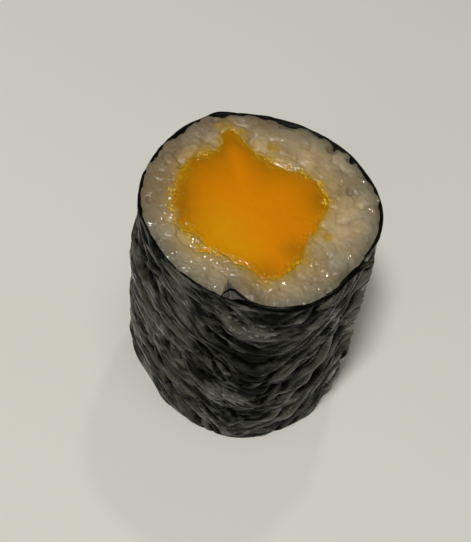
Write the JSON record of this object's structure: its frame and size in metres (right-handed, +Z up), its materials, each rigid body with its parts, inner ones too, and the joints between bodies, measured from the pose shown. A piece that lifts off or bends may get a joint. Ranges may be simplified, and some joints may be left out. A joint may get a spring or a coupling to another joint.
{
  "type": "mango hosomaki",
  "caption": "Upright piece of thin sushi roll: ripe mango inside a ring of pressed rice, wrapped in one sheet of wrinkled nori.",
  "frame": {"origin": "middle of the cut face that the piece stands on", "axes": "+Z up along the roll to the upper cut face; the front, where the tucked edge of the nori shows, faces -Y; +X to the right of the picture's view"},
  "size_m": [0.0305, 0.0287, 0.0317],
  "materials": {
    "nori": "damp dark green-black seaweed sheet, crinkled, satin with small wet glints",
    "rice": "moist, slightly translucent cooked rice, glossy on the grains",
    "mango": "wet cut flesh of ripe mango, deep yellow-orange"
  },
  "bodies": {
    "root": {"nori": "nori", "rice": "rice", "mango": "mango"}
  },
  "joints": []
}
